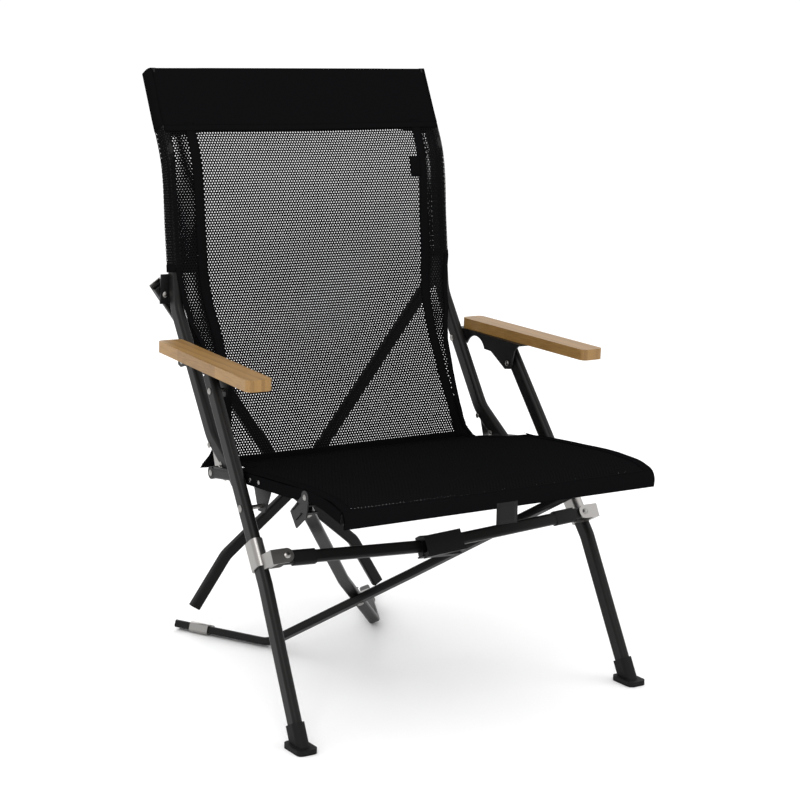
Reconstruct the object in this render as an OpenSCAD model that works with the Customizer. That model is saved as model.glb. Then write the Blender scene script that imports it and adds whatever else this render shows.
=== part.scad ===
// High-back low folding chair: black oval tubes, steel brackets, bamboo
// armrests and a one-piece mesh sling. Millimetres, +Z up, front faces -Y.
// "Right" is the sitter's right, at negative X. The two sides are mirror
// images, apart from the crossed tubes, which pass in front of each other.

/* [Back tubes] */
// Distance from the middle of the chair to the centre of a back tube
back_half = 233; // [210:1:260]
// Height of the top of the back tubes
back_top_z = 862; // [840:1:960]
// How far the top of the back tubes is behind the seat pivots
back_top_y = 229; // [200:1:260]
// Width of the leg and back tubes, side to side
tube_w = 14; // [12:0.5:16]
// Depth of the leg and back tubes, front to back
tube_d = 25; // [20:0.5:28]
// Wall of every tube
wall = 1.4; // [1:0.1:2]

/* [Seat and legs] */
// Height of the pivots at the back of the seat
seat_pivot_z = 310; // [290:1:330]
// How far the front pads of the legs are in front of the seat pivots
foot_reach = 300; // [280:1:330]
// How far the seat rails reach in front of the seat pivots
rail_reach = 357; // [340:1:385]
// Width of a seat rail
rail_w = 11; // [9:0.5:11]
// Height of a seat rail
rail_d = 16; // [14:0.5:20]

/* [Crossed tubes] */
// Width of the crossed tubes at the back, in their own plane
brace_w = 18; // [14:0.5:20]
// Width of the crossed tubes of the base, in their own plane
base_w = 17; // [14:0.5:20]
// Thickness of all crossed tubes
cross_t = 12; // [10:0.5:14]
// Height of the pins that hold the back braces
brace_top_z = 545; // [520:1:560]

/* [Front stay] */
// Depth of the stay tubes
stay_d = 17; // [14:0.5:20]
// Thickness of the stay tubes
stay_t = 12; // [10:0.5:12]

/* [Armrests] */
// Length of an armrest
arm_length = 298; // [270:1:320]
// Width of an armrest
arm_w = 38; // [34:1:44]
// Thickness of an armrest
arm_t = 16; // [12:0.5:18]
// How far the armrests turn outward towards the front, in degrees
arm_splay = 2.4; // [0:0.2:4]
// How far the armrests tip down towards the front, in degrees
arm_tilt = 2; // [0:0.2:3]

/* [Pins and clearances] */
// Diameter of the pivot pins
pin_d = 6; // [5:0.5:7]
// Diameter of the fixed rivets
rivet_d = 4; // [3:0.5:5]
// Radial clearance of every pin in its hole
run_gap = 0.05; // [0.03:0.01:0.09]
// Gap between parts that move past each other
slide_gap = 0.5; // [0.3:0.1:0.8]
// Thickness of the bracket sheet
sheet_t = 2.5; // [2:0.1:3]
// Thickness of the mesh fabric's solid
fabric_t = 2; // [1.5:0.5:3]
// Radial play where the left base tube hangs on its clip
open_gap = 1.5; // [1.2:0.1:2]

/* [Hidden] */

$fn = 48;
black = [0.09, 0.09, 0.1];
steel = [0.75, 0.75, 0.77];
bamboo = [0.78, 0.62, 0.38];
cloth = [0.06, 0.06, 0.07];

right = -1;
left = 1;

// Bends are this much thicker, and straights run this far into them
bend_grow = 0.03;
bend_lap = 0.8;

// Corner radii of the tubes
tube_r = 6;
rail_r = 4;
cross_r = 3.5;

fabric_front = rail_reach + 8;

// Side pivots, as [y, z]: seat hinge, leg on rail, arm bracket on leg, arm bracket on back tube.
// They form a parallelogram, so the armrests stay in line with the seat.
seat_pivot = [0, seat_pivot_z];
bracket_step = [-128, -22];
post_step = [106, 144];
leg_pivot = seat_pivot + bracket_step;
arm_back_pivot = seat_pivot + post_step;
arm_leg_pivot = leg_pivot + post_step;

// Back tube, as [y, z] from the top down
neck = [171, 745];
waist = [145, 525];
knee = [31, seat_pivot_z + 45];
toe = [-40.5, seat_pivot_z - 2];
back_path = [[back_top_y, back_top_z], neck, waist, knee, toe];
back_bend = 60;

// Front leg, side to side and [y, z]: it leans out a little on its way down
leg_top = [back_half + 24.5, [-8, seat_pivot_z + 142]];
leg_bend = [back_half + 38.5, [-196, 197]];
leg_foot = [back_half + 42.5, [-foot_reach + 4, 8]];
leg_radius = 60;

// Seat rail
rail_half = back_half + tube_w / 2 + 1.6 + rail_w / 2;
rail_front = [-rail_reach, seat_pivot_z + 12];
rail_path = [seat_pivot, [-100, seat_pivot_z + 13], [-300, seat_pivot_z + 23], rail_front];
clip_pivot = [-270, seat_pivot_z + 21.5];

// Braces: they lie in a plane that leans back by brace_tilt
brace_tilt = 5.1;
brace_offset = cross_t / 2 + slide_gap;
brace_plane_y = 177.5;
brace_pin_x = back_half + 10;
brace_cross_z = 210;
brace_normal = [0, cos(brace_tilt), sin(brace_tilt)];
function on_brace_plane(x, z) = [x, brace_plane_y + (brace_top_z - z) * tan(brace_tilt), z];
brace_pin = on_brace_plane(brace_pin_x, brace_top_z);
brace_cross = on_brace_plane(0, brace_cross_z);
brace_knee = on_brace_plane(112, 118);
brace_end = on_brace_plane(163, 40);

// Base tubes: they rise from the floor at the back to the clips at the front
clip_step = [16, -28];
base_clip_pin = [rail_half - 7.5, clip_pivot[0] + clip_step[0], clip_pivot[1] + clip_step[1]];
base_cross = [0, 9, 90];
base_slope = [0, base_clip_pin[1] - base_cross[1], base_clip_pin[2] - base_cross[2]];
base_normal = [0, base_slope[2], -base_slope[1]] / norm(base_slope);
base_offset = cross_t / 2 + slide_gap;
// Point of a base tube's plane at a given x and height, off being its offset from the middle plane
function on_base_plane(x, z, off) =
    [x, base_cross[1] + (off - base_normal[2] * (z - base_cross[2])) / base_normal[1], z];
// The floor stretches lie rolled a little; this is the height of their centre line
floor_guess = cross_t / 2 + 1.7;
floor_side = unit(cross(base_normal, unit(on_base_plane(-100, floor_guess, 0) - on_base_plane(53, 134.5, 0))));
floor_flat = sqrt(1 - floor_side[2] * floor_side[2]);
base_floor_z = (base_w / 2 - cross_r) * abs(floor_side[2]) + (cross_t / 2 - cross_r) * floor_flat
    + cross_r + 2 * bend_grow;
base_rear_y = on_base_plane(100, base_floor_z, base_offset)[1] + 155 + 1.5 + base_w * 0.24 + 0.15;

// Everything above is measured from the seat pivots; this moves the whole
// chair so that the middle of its outline is at the origin.
depth_shift = (fabric_front + 2.2 - base_rear_y) / 2;

// Front stay
stay_pivot = [back_half + 17, -203, 234];
stay_sag = 13;
stay_normal = [0, cos(27.4), -sin(27.4)];
stay_offset = stay_t / 2 + slide_gap;
stay_middle = [0, stay_pivot[1] - stay_sag * sin(27.4), stay_pivot[2] - stay_sag * cos(27.4)];

// Armrest
arm_under_z = seat_pivot_z + 160;
arm_rear_y = 108;
arm_outer = back_half + 50;

head_h = 2;
head_d = 10;

// ---------------------------------------------------------------- helpers

function unit(v) = v / norm(v);
function flip(p, side) = [p[0] * side, p[1], p[2]];
function at_side(x, yz) = [x, yz[0], yz[1]];
function turned(v, axis, angle) =
    v * cos(angle) + cross(axis, v) * sin(angle) + axis * (axis * v) * (1 - cos(angle));
// The section's side vector, carried round one bend without twist
function carried(side, from, to) =
    let (axis = cross(from, to), s = norm(axis))
    s < 0.000001 ? side : turned(side, axis / s, asin(min(1, s)));
function sides(points, side, i = 0) =
    i > len(points) - 2 ? [] :
    concat([side], i > len(points) - 3 ? [] :
        sides(points, carried(side, unit(points[i + 1] - points[i]),
            unit(points[i + 2] - points[i + 1])), i + 1));
function bend_length(points, i, radius) =
    i < 1 || i > len(points) - 2 ? 0 :
    let (a = unit(points[i] - points[i - 1]), b = unit(points[i + 1] - points[i]))
    radius * tan(asin(min(1, norm(cross(a, b)))) / 2);

// Puts children's X, Y and Z along the given axes at a point
module framed(x, y, z, at) {
    multmatrix([
        [x[0], y[0], z[0], at[0]],
        [x[1], y[1], z[1], at[1]],
        [x[2], y[2], z[2], at[2]],
        [0, 0, 0, 1]]) children();
}

// Puts children's Z along a direction at a point
module along(direction, at) {
    z = unit(direction);
    x = unit(cross(abs(z[0]) > 0.9 ? [0, 0, 1] : [1, 0, 0], z));
    framed(x, cross(z, x), z, at) children();
}

// Rounded rectangle: w across, d deep
module section(w, d, r) {
    square([w - 2 * r, d], center = true);
    square([w, d - 2 * r], center = true);
    for (i = [-1, 1], j = [-1, 1])
        translate([i * (w / 2 - r), j * (d / 2 - r)]) circle(r);
}

// Tube wall; grow thickens it both ways
module tube_section(w, d, r, grow = 0) {
    difference() {
        section(w + 2 * grow, d + 2 * grow, r + grow);
        section(w - 2 * wall - 2 * grow, d - 2 * wall - 2 * grow, r - wall - grow);
    }
}

// Carries a 2-D section along a bent path. Each stretch hangs on the end of
// the one before, starting at stretch i with the section's X along the side
// vector. The second child is the bends' section, a hair thicker, so that each
// straight stretch runs a little way into the bend and joins it cleanly.
module stretches(points, turns, radius, i) {
    go = unit(points[i + 1] - points[i]);
    last = i == len(points) - 2;
    length = norm(points[i + 1] - points[i]) - bend_length(points, i, radius)
        - bend_length(points, i + 1, radius);
    before = i == 0 ? 0 : bend_lap;
    after = last ? 0 : bend_lap;
    translate([0, 0, -before]) linear_extrude(length + before + after) children(0);
    if (!last) {
        next = unit(points[i + 2] - points[i + 1]);
        axis = unit(cross(go, next));
        angle = asin(min(1, norm(cross(go, next))));
        roll = atan2(axis * cross(go, turns[i]), axis * turns[i]);
        translate([0, 0, length]) rotate(roll) {
            multmatrix([[0, 0, 1, 0], [1, 0, 0, -radius], [0, 1, 0, 0], [0, 0, 0, 1]])
                rotate_extrude(angle = angle) translate([radius, 0]) rotate(roll + 90) children(1);
            translate([0, -radius, 0]) rotate([angle, 0, 0]) translate([0, radius, 0])
                rotate(-roll) stretches(points, turns, radius, i + 1) {
                    children(0);
                    children(1);
                }
        }
    }
}

module swept(points, radius, side) {
    go = unit(points[1] - points[0]);
    framed(side, cross(go, side), go, points[0])
        stretches(points, sides(points, side), radius, 0) {
            children(0);
            children(1);
        }
}

module bent_tube(points, radius, side, w, d, r) {
    swept(points, radius, side) {
        tube_section(w, d, r);
        tube_section(w, d, r, bend_grow);
    }
}

// Drill from one point along a direction
module drill(at, direction, d, length) {
    along(direction, at) translate([0, 0, -length / 2]) cylinder(d = d, h = length);
}

// Domed rivet head
module head(d = head_d) {
    intersection() {
        translate([0, 0, head_h - d * 0.8]) sphere(d * 0.8);
        cylinder(d = d, h = head_h);
    }
}

// Pin with a domed head at each end, its shaft running from one point to another
module riveted_pin(from, to, d, head_size = head_d) {
    along(to - from, from) {
        cylinder(d = d, h = norm(to - from));
        translate([0, 0, norm(to - from)]) head(head_size);
        mirror([0, 0, 1]) head(head_size);
    }
}

module plug(at, direction, side, w, d, r, depth = 14, lip = 2) {
    framed(side, cross(direction, side), direction, at) {
        linear_extrude(lip) section(w, d, r);
        translate([0, 0, -depth])
            linear_extrude(depth + 0.01) section(w - 2 * wall - 0.2, d - 2 * wall - 0.2, r - wall - 0.1);
    }
}

pin_hole = pin_d + 2 * run_gap;
rivet_hole = rivet_d + 2 * run_gap;

// ---------------------------------------------------------------- back

function back_points(side) = [for (p = back_path) [side * back_half, p[0], p[1]]];
plate_rivets = [[30, seat_pivot_z + 33], [-6, seat_pivot_z + 12]];
clip_rivets = [brace_top_z - 22, brace_top_z + 6];
clip_front_y = 160.5;

module seat_hinge_outline() {
    polygon([[36, seat_pivot_z + 46], [18, seat_pivot_z - 10], [-8, seat_pivot_z - 12],
        [-20, seat_pivot_z + 10], [12, seat_pivot_z + 34]]);
}

module in_side_plane(x, t) {
    framed([0, 1, 0], [0, 0, 1], [1, 0, 0], [x - t / 2, 0, 0]) linear_extrude(t) children();
}

module back_tube(side) {
    color(black) difference() {
        union() {
            bent_tube(back_points(side), back_bend, [1, 0, 0], tube_w, tube_d, tube_r);
            along([1, 0, 0], at_side(side * back_half - tube_w / 2 + 2, toe))
                cylinder(d = tube_d - 0.2, h = tube_w - 4);
        }
        drill(at_side(side * back_half, arm_back_pivot), [1, 0, 0], pin_hole, tube_w + 4);
        for (p = plate_rivets)
            drill(at_side(side * back_half, p), [1, 0, 0], rivet_hole, tube_w + 4);
        drill(at_side(side * back_half, toe), [1, 0, 0], rivet_hole, tube_w + 4);
        in_side_plane(side * back_half, sheet_t + 0.4) seat_hinge_outline();
        for (z = clip_rivets)
            drill([side * back_half, clip_front_y, z], [0, 1, 0], rivet_hole, 12);
    }
}

module back_plugs(side) {
    top = at_side(side * back_half, back_path[0]);
    up = unit(top - at_side(side * back_half, neck));
    color(black) plug(top, up, [1, 0, 0], tube_w, tube_d, tube_r);
}

module seat_hinge_plate(side) {
    color(steel) difference() {
        in_side_plane(side * back_half, sheet_t) seat_hinge_outline();
        drill(at_side(side * back_half, seat_pivot), [1, 0, 0], pin_hole, 20);
        for (p = plate_rivets)
            drill(at_side(side * back_half, p), [1, 0, 0], rivet_hole, 20);
    }
}

// Point on the line of a brace's top pin, s along it from the braces' middle plane
function brace_pin_at(side, s) = flip(brace_pin, side) + brace_normal * s;
function brace_face(side) = side * brace_offset - cross_t / 2 - slide_gap;

// Plate behind the back tube that the brace turns on; the left one stands further back
module brace_seat(side) {
    face = brace_face(side);
    color(black) difference() {
        union() {
            framed([1, 0, 0], cross(brace_normal, [1, 0, 0]), brace_normal, brace_pin_at(side, face - sheet_t))
                translate([side * -5 - 13, -30, 0]) cube([26, 44, sheet_t]);
            framed([1, 0, 0], cross(brace_normal, [1, 0, 0]), brace_normal, brace_pin_at(side, face - sheet_t - 17))
                translate([side * -(brace_pin_x - back_half) - 5, -30, 0]) cube([10, 44, 17.5]);
        }
        swept(back_points(side), back_bend, [1, 0, 0]) {
            section(tube_w + 0.1, tube_d + 0.1, tube_r);
            section(tube_w + 0.2, tube_d + 0.2, tube_r);
        }
        swept([brace_pin_at(side, -200), brace_pin_at(side, -18)], 10, [1, 0, 0]) {
            section(60, 120, 2);
            section(60, 120, 2);
        }
        drill(brace_pin_at(side, face), brace_normal, pin_hole, 20);
        for (z = clip_rivets)
            drill([side * back_half, 170, z], [0, 1, 0], rivet_hole, 60);
    }
}

module back_pins(side) {
    out = side * (back_half + tube_w / 2);
    inn = side * (back_half - tube_w / 2);
    color(steel) {
        for (p = concat(plate_rivets, [toe]))
            riveted_pin(at_side(inn, p), at_side(out, p), rivet_d, 8);
        riveted_pin(at_side(inn, arm_back_pivot),
            at_side(side * (back_half + tube_w / 2 + 2.5 + sheet_t + 0.3), arm_back_pivot), pin_d);
        riveted_pin(at_side(side * (back_half - sheet_t / 2), seat_pivot),
            at_side(side * (rail_half + rail_w / 2 + 0.3), seat_pivot), pin_d, 9);
        riveted_pin(brace_pin_at(side, brace_face(side) - sheet_t),
            brace_pin_at(side, side * brace_offset + cross_t / 2 + 2.4), pin_d, 9);
    }
}

// ---------------------------------------------------------------- rear braces

function brace_points(side) =
    let (o = brace_normal * (side * brace_offset), up = unit(brace_pin - brace_cross))
    [for (p = [brace_pin + up * 14, brace_cross, flip(brace_knee, -1), flip(brace_end, -1)])
        flip(p, side) + o];

module brace(side) {
    pts = brace_points(side);
    o = brace_normal * (side * brace_offset);
    color(black) difference() {
        bent_tube(pts, 40, brace_normal, cross_t, brace_w, cross_r);
        drill(flip(brace_pin, side) + o, brace_normal, pin_hole, 30);
        drill(brace_cross + o, brace_normal, pin_hole, 30);
    }
}

// Steel channel round the top end of a brace
module brace_strap(side) {
    o = brace_normal * (side * brace_offset);
    down = unit(flip(brace_cross - brace_pin, side));
    across = cross(brace_normal, down);
    inside = flip([-1, 0, 0], side) * across > 0 ? 1 : -1;
    color(steel) framed(across, brace_normal, unit(cross(across, brace_normal)),
            flip(brace_pin, side) + o) difference() {
        union() {
            translate([-brace_w / 2, cross_t / 2 + 0.05, -20]) cube([brace_w, 2, 32]);
            translate([inside * (brace_w / 2 + 1.05) - 1, 0, -20]) cube([2, cross_t / 2 + 2.05, 32]);
        }
        rotate([90, 0, 0]) translate([0, 0, -30]) cylinder(d = pin_hole, h = 60);
    }
}

module brace_plugs(side) {
    pts = brace_points(side);
    color(black) plug(pts[3], unit(pts[3] - pts[2]), brace_normal, cross_t, brace_w, cross_r, 12, 1.5);
}

module brace_cross_pin() {
    reach = brace_offset + cross_t / 2 + 0.2;
    color(steel) riveted_pin(brace_cross - brace_normal * reach,
        brace_cross + brace_normal * reach, pin_d);
}

// ---------------------------------------------------------------- seat rails

function rail_points(side) = [for (p = rail_path) [side * rail_half, p[0], p[1]]];
hanger_x = rail_half - rail_w / 2 - sheet_t / 2 - 0.05;
hanger_rivets = [[-118, seat_pivot_z + 14], [-142, seat_pivot_z + 15]];
leg_inner = leg_top[0] - tube_w / 2;

module seat_rail(side) {
    color(black) difference() {
        union() {
            bent_tube(rail_points(side), 50, [1, 0, 0], rail_w, rail_d, rail_r);
            along([1, 0, 0], at_side(side * rail_half - rail_w / 2 - 0.1, seat_pivot))
                cylinder(d = rail_d + 2, h = rail_w + 0.2);
        }
        drill(at_side(side * rail_half, seat_pivot), [1, 0, 0], pin_hole, 30);
        drill(at_side(side * rail_half, clip_pivot), [1, 0, 0], pin_hole, 30);
        for (p = hanger_rivets)
            drill(at_side(side * rail_half, p), [1, 0, 0], rivet_hole, 30);
    }
}

module rail_plugs(side) {
    pts = rail_points(side);
    color(black) plug(pts[3], unit(pts[3] - pts[2]), [1, 0, 0], rail_w, rail_d, rail_r, 10, 1.5);
}

// Plate under the rail that carries the leg's pivot
module rail_hanger(side) {
    color(steel) difference() {
        in_side_plane(side * hanger_x, sheet_t) polygon([
            [-106, seat_pivot_z + 18], [-154, seat_pivot_z + 20], [-152, seat_pivot_z],
            [leg_pivot[0] - 9, leg_pivot[1] - 8], [leg_pivot[0] + 9, leg_pivot[1] - 8],
            [-108, seat_pivot_z]]);
        drill(at_side(side * hanger_x, leg_pivot), [1, 0, 0], pin_hole, 30);
        for (p = hanger_rivets)
            drill(at_side(side * hanger_x, p), [1, 0, 0], rivet_hole, 30);
    }
}

module rail_pins(side) {
    leg_x = leg_center(leg_pivot);
    color(steel) {
        riveted_pin(at_side(side * (hanger_x - sheet_t / 2 - 0.1), leg_pivot),
            at_side(side * (leg_x + tube_w / 2 + 0.6), leg_pivot), pin_d);
        for (p = hanger_rivets)
            riveted_pin(at_side(side * (hanger_x - sheet_t / 2), p),
                at_side(side * (rail_half + rail_w / 2), p), rivet_d, 6);
    }
}

// ---------------------------------------------------------------- front legs

// Side-to-side place of the leg's centre at a [y, z] on its upper stretch
function leg_center(yz) = leg_top[0]
    + (leg_bend[0] - leg_top[0]) * (leg_top[1][1] - yz[1]) / (leg_top[1][1] - leg_bend[1][1]);
function leg_points(side) = [for (p = [leg_top, leg_bend, leg_foot])
    [side * p[0], p[1][0], p[1][1]]];
clamp_at = at_side(leg_center([0, 232]), [-169, 232]);

module front_leg(side) {
    pts = leg_points(side);
    down = unit(pts[1] - pts[0]);
    across = unit(cross(cross(down, [1, 0, 0]), down));
    color(black) difference() {
        bent_tube(pts, leg_radius, across, tube_w, tube_d, tube_r);
        drill(at_side(side * leg_center(leg_pivot), leg_pivot), [1, 0, 0], pin_hole, 40);
        drill(at_side(side * leg_center(arm_leg_pivot), arm_leg_pivot), [1, 0, 0], pin_hole, 40);
    }
}

module leg_plug(side) {
    pts = leg_points(side);
    up = unit(pts[0] - pts[1]);
    across = unit(cross(cross(up, [1, 0, 0]), up));
    color(black) plug(pts[0], up, across, tube_w, tube_d, tube_r, 6, 2);
}

// Flared rubber pad, flat on the floor, with a socket for the leg
module foot(side) {
    pts = leg_points(side);
    down = unit(pts[2] - pts[1]);
    across = unit(cross(cross(down, [1, 0, 0]), down));
    at = pts[2];
    color(black) difference() {
        union() {
            translate([at[0], at[1] - 4, 0]) linear_extrude(7) section(30, 46, 8);
            intersection() {
                framed(across, cross(down, across), down, at - down * 26)
                    linear_extrude(40) section(tube_w + 5, tube_d + 5, tube_r + 2);
                translate([at[0] - 40, at[1] - 60, 0]) cube([80, 120, 60]);
            }
        }
        framed(across, cross(down, across), down, at - down * 40)
            linear_extrude(40.1) section(tube_w + 0.2, tube_d + 0.2, tube_r + 0.1);
    }
}

// Steel clamp round the leg, with two ears in front that carry the stay
ear_inner = stay_t / 2 + stay_offset + slide_gap;
module stay_clamp(side) {
    pts = leg_points(side);
    down = unit(pts[1] - pts[0]);
    across = unit(cross(cross(down, [1, 0, 0]), down));
    out = cross(down, across);
    at = flip(clamp_at, side);
    ear_x = side * (clamp_at[0] - stay_pivot[0]);
    color(steel) difference() {
        union() {
            framed(across, out, down, at - down * 20) linear_extrude(40)
                section(tube_w + 5, tube_d + 5, tube_r + 2);
            for (z = [-ear_inner - 2.5, ear_inner])
                along(stay_normal, flip(stay_pivot, side) + stay_normal * z) {
                    translate([-10, ear_x > 0 ? 0 : ear_x, 0]) cube([20, abs(ear_x), 2.5]);
                    cylinder(d = 20, h = 2.5);
                }
            along(stay_normal, flip(stay_pivot, side) - stay_normal * (ear_inner + 2.5))
                translate([-10, ear_x - 4, 0]) cube([20, 8, 2 * ear_inner + 5]);
        }
        swept(pts, leg_radius, across) {
            section(tube_w + 0.2, tube_d + 0.2, tube_r + 0.1);
            section(tube_w + 0.3, tube_d + 0.3, tube_r + 0.15);
        }
        drill(flip(stay_pivot, side), stay_normal, pin_hole, 80);
    }
}

module leg_pins(side) {
    x = leg_center(arm_leg_pivot);
    reach = stay_normal * (ear_inner + 2.5);
    color(steel) {
        riveted_pin(at_side(side * (back_half + tube_w / 2 + 2.5 - 0.3), arm_leg_pivot),
            at_side(side * (x + tube_w / 2 + 0.4), arm_leg_pivot), pin_d, 9);
        riveted_pin(flip(stay_pivot, side) - reach, flip(stay_pivot, side) + reach, pin_d, 9);
    }
}

// ---------------------------------------------------------------- armrests

bracket_x = back_half + tube_w / 2 + 2.5 + sheet_t / 2;

arm_screw_y = [-20, -146];

// Children are placed in the armrest's underside, its origin at the middle of its rear end
module under_arm(side) {
    translate([side * (arm_outer - arm_w / 2), arm_rear_y, arm_under_z]) rotate([arm_tilt, 0, 0])
        rotate(side * arm_splay) children();
}

function arm_edge_z(y) = arm_under_z - 0.3 + (y - arm_rear_y) * tan(arm_tilt);

module arm_bracket(side) {
    color(black) difference() {
        union() {
            in_side_plane(side * bracket_x, sheet_t) difference() {
                polygon([[118, arm_edge_z(118)], [118, arm_back_pivot[1] - 7],
                    [110, arm_back_pivot[1] - 10], [96, arm_back_pivot[1] - 6],
                    [22, arm_back_pivot[1] - 10], [arm_leg_pivot[0] + 6, arm_leg_pivot[1] - 10],
                    [arm_leg_pivot[0] - 8, arm_leg_pivot[1] - 8],
                    [arm_leg_pivot[0] - 18, arm_under_z - 16], [-52, arm_edge_z(-52)]]);
                translate([64, arm_back_pivot[1] - 18]) circle(26);
            }
            translate([0, arm_rear_y, arm_under_z]) rotate([arm_tilt, 0, 0])
                translate([0, 0, -sheet_t - 0.1]) linear_extrude(sheet_t) polygon([
                    [side * (bracket_x - sheet_t / 2), 6], [side * (arm_outer - 8), 6],
                    [side * (arm_outer - 8 + 160 * tan(arm_splay)), -160],
                    [side * (bracket_x - sheet_t / 2), -160]]);
        }
        drill(at_side(side * bracket_x, arm_back_pivot), [1, 0, 0], pin_hole, 20);
        drill(at_side(side * bracket_x, arm_leg_pivot), [1, 0, 0], pin_hole, 20);
        under_arm(side) for (y = arm_screw_y)
            translate([0, y, -10]) cylinder(d = rivet_hole, h = 20);
    }
}

module armrest(side) {
    color(bamboo) under_arm(side) difference() {
        translate([0, -arm_length / 2, 0]) linear_extrude(arm_t) section(arm_w, arm_length, 9);
        for (y = arm_screw_y)
            translate([0, y, -1]) cylinder(d = rivet_hole, h = 11);
    }
}

module arm_screws(side) {
    color(steel) under_arm(side) for (y = arm_screw_y)
        translate([0, y, -0.1 - sheet_t]) {
            cylinder(d = rivet_d, h = 10);
            mirror([0, 0, 1]) head(8);
        }
}

// ---------------------------------------------------------------- base

// Steel clip: cheeks on the rail and a fork that holds the front end of a base tube
clip_cheek = rail_w / 2 + 0.4;
fork_reach = cross_t / 2 + 0.4;
fork_up = unit(cross([1, 0, 0], base_normal));

module front_clip(side) {
    pin = flip(base_clip_pin, side) - base_normal * (side * base_offset);
    color(steel) difference() {
        union() {
            for (s = [-1, 1]) in_side_plane(side * rail_half + s * (clip_cheek + 1), 2)
                translate(clip_pivot) circle(9);
            translate([side > 0 ? rail_half - clip_cheek - 2 : -rail_half - clip_cheek - 2,
                clip_pivot[0] - 7, clip_pivot[1] - rail_d / 2 - 3.4])
                cube([2 * clip_cheek + 4, 14, 2]);
            in_side_plane(side * rail_half - side * (clip_cheek + 1), 2) translate(clip_pivot)
                translate([-7, -rail_d / 2 - 3.4]) square([14, 10]);
            in_side_plane(side * (rail_half + clip_cheek + 1), 2) polygon([
                clip_pivot + [-9, 0], clip_pivot + [9, 0],
                [base_clip_pin[1] + 22, base_clip_pin[2] + 2],
                [base_clip_pin[1] + 6, base_clip_pin[2] - 18],
                [base_clip_pin[1] - 20, base_clip_pin[2] + 2]]);
            framed([1, 0, 0], base_normal, fork_up, pin)
                for (s = [-1, 1]) translate([side > 0 ? -9 : -17, s * (fork_reach + 1) - 1, -9])
                    cube([26, 2, 18]);
        }
        drill(at_side(side * rail_half, clip_pivot), [1, 0, 0], pin_hole, 40);
        drill(pin, base_normal, pin_hole, 40);
    }
}

module clip_pins(side) {
    pin = flip(base_clip_pin, side) - base_normal * (side * base_offset);
    reach = base_normal * (fork_reach + 2);
    color(steel) {
        riveted_pin(at_side(side * rail_half - clip_cheek - 2, clip_pivot),
            at_side(side * rail_half + clip_cheek + 2, clip_pivot), pin_d, 8);
        riveted_pin(pin - reach, pin + reach, pin_d, 8);
    }
}

function base_points(side) =
    let (off = -side * base_offset, pin = flip(base_clip_pin, side) + base_normal * off,
        rear = on_base_plane(-side * 100, base_floor_z, off))
    [pin + unit(pin - on_base_plane(side * 53, 134.5, off)) * 9,
     on_base_plane(side * 53, 134.5, off), rear, rear + [-side * 78, 155, 0]];
function base_side(side) =
    let (p = base_points(side)) unit(cross(base_normal, unit(p[1] - p[0])));

module base_tube(side) {
    pts = base_points(side);
    color(black) difference() {
        bent_tube(pts, 45, base_side(side), base_w, cross_t, cross_r);
        drill(flip(base_clip_pin, side) - base_normal * (side * base_offset), base_normal,
            side == left ? pin_d + 2 * open_gap : pin_hole, 30);
        drill(base_cross - base_normal * (side * base_offset), base_normal, pin_hole, 30);
    }
}

module base_plugs(side) {
    pts = base_points(side);
    turns = sides(pts, base_side(side));
    color(black) {
        plug(pts[3], unit(pts[3] - pts[2]), turns[2], base_w, cross_t, cross_r, 12, 1.5);
        plug(pts[0], unit(pts[0] - pts[1]), turns[0], base_w, cross_t, cross_r, 4, 1);
    }
}

// Steel saddle on the floor stretch, under the lower end of a brace
module base_hinge(side) {
    pts = base_points(side);
    go = unit(pts[3] - pts[2]);
    turns = sides(pts, base_side(side));
    color(steel) difference() {
        framed(turns[2], cross(go, turns[2]), go, pts[3] - go * 62)
            linear_extrude(34) section(base_w + 4.4, cross_t + 4.4, cross_r + 2);
        framed(turns[2], cross(go, turns[2]), go, pts[3] - go * 63)
            linear_extrude(36) section(base_w + 0.2, cross_t + 0.2, cross_r + 0.1);
        translate([-400, -100, -49]) cube([800, 800, 50]);
    }
}

module base_cross_pin() {
    reach = base_offset + cross_t / 2 + 0.2;
    color(steel) riveted_pin(base_cross - base_normal * reach,
        base_cross + base_normal * reach, pin_d);
}

// ---------------------------------------------------------------- front stay

stay_length = norm([stay_pivot[0], stay_sag]);

// One half of the stay: X runs outward from the middle of the chair in its own slab
module along_stay(side) {
    out = unit(flip(stay_pivot, side) - stay_middle);
    framed(cross(stay_normal, out), stay_normal, out,
        stay_middle + stay_normal * (-side * stay_offset)) children();
}

module stay(side) {
    color(black) difference() {
        along_stay(side) translate([0, 0, -22]) linear_extrude(stay_length + 33)
            tube_section(stay_d, stay_t, cross_r);
        drill(flip(stay_pivot, side) - stay_normal * (side * stay_offset), stay_normal, pin_hole, 30);
    }
}

module stay_socket(side) {
    color(black) difference() {
        along_stay(side) translate([0, 0, stay_length - 52]) linear_extrude(34)
            section(stay_d + 4, stay_t + 0.8, cross_r + 0.3);
        along_stay(side) translate([0, 0, stay_length - 60]) linear_extrude(60)
            section(stay_d + 0.1, stay_t + 0.1, cross_r + 0.05);
    }
}

// Half of the middle block, with its steel wear plate beneath
module stay_lock(side) {
    color(black) along_stay(side) difference() {
        translate([-14, -stay_t / 2 - 0.3, -31]) cube([28, stay_t + 0.6, 62]);
        translate([0, 0, -60]) linear_extrude(120) section(stay_d + 0.1, stay_t + 0.1, cross_r + 0.05);
    }
    stay_plate(side);
}

module stay_plate(side) {
    color(steel) along_stay(side)
        translate([cross(stay_normal, unit(flip(stay_pivot, side) - stay_middle))[2] > 0 ? -16.1 : 14.1,
            -stay_t / 2 - 0.3, -33])
        cube([2, stay_t + 0.6, 66]);
}

// ---------------------------------------------------------------- sling

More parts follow.
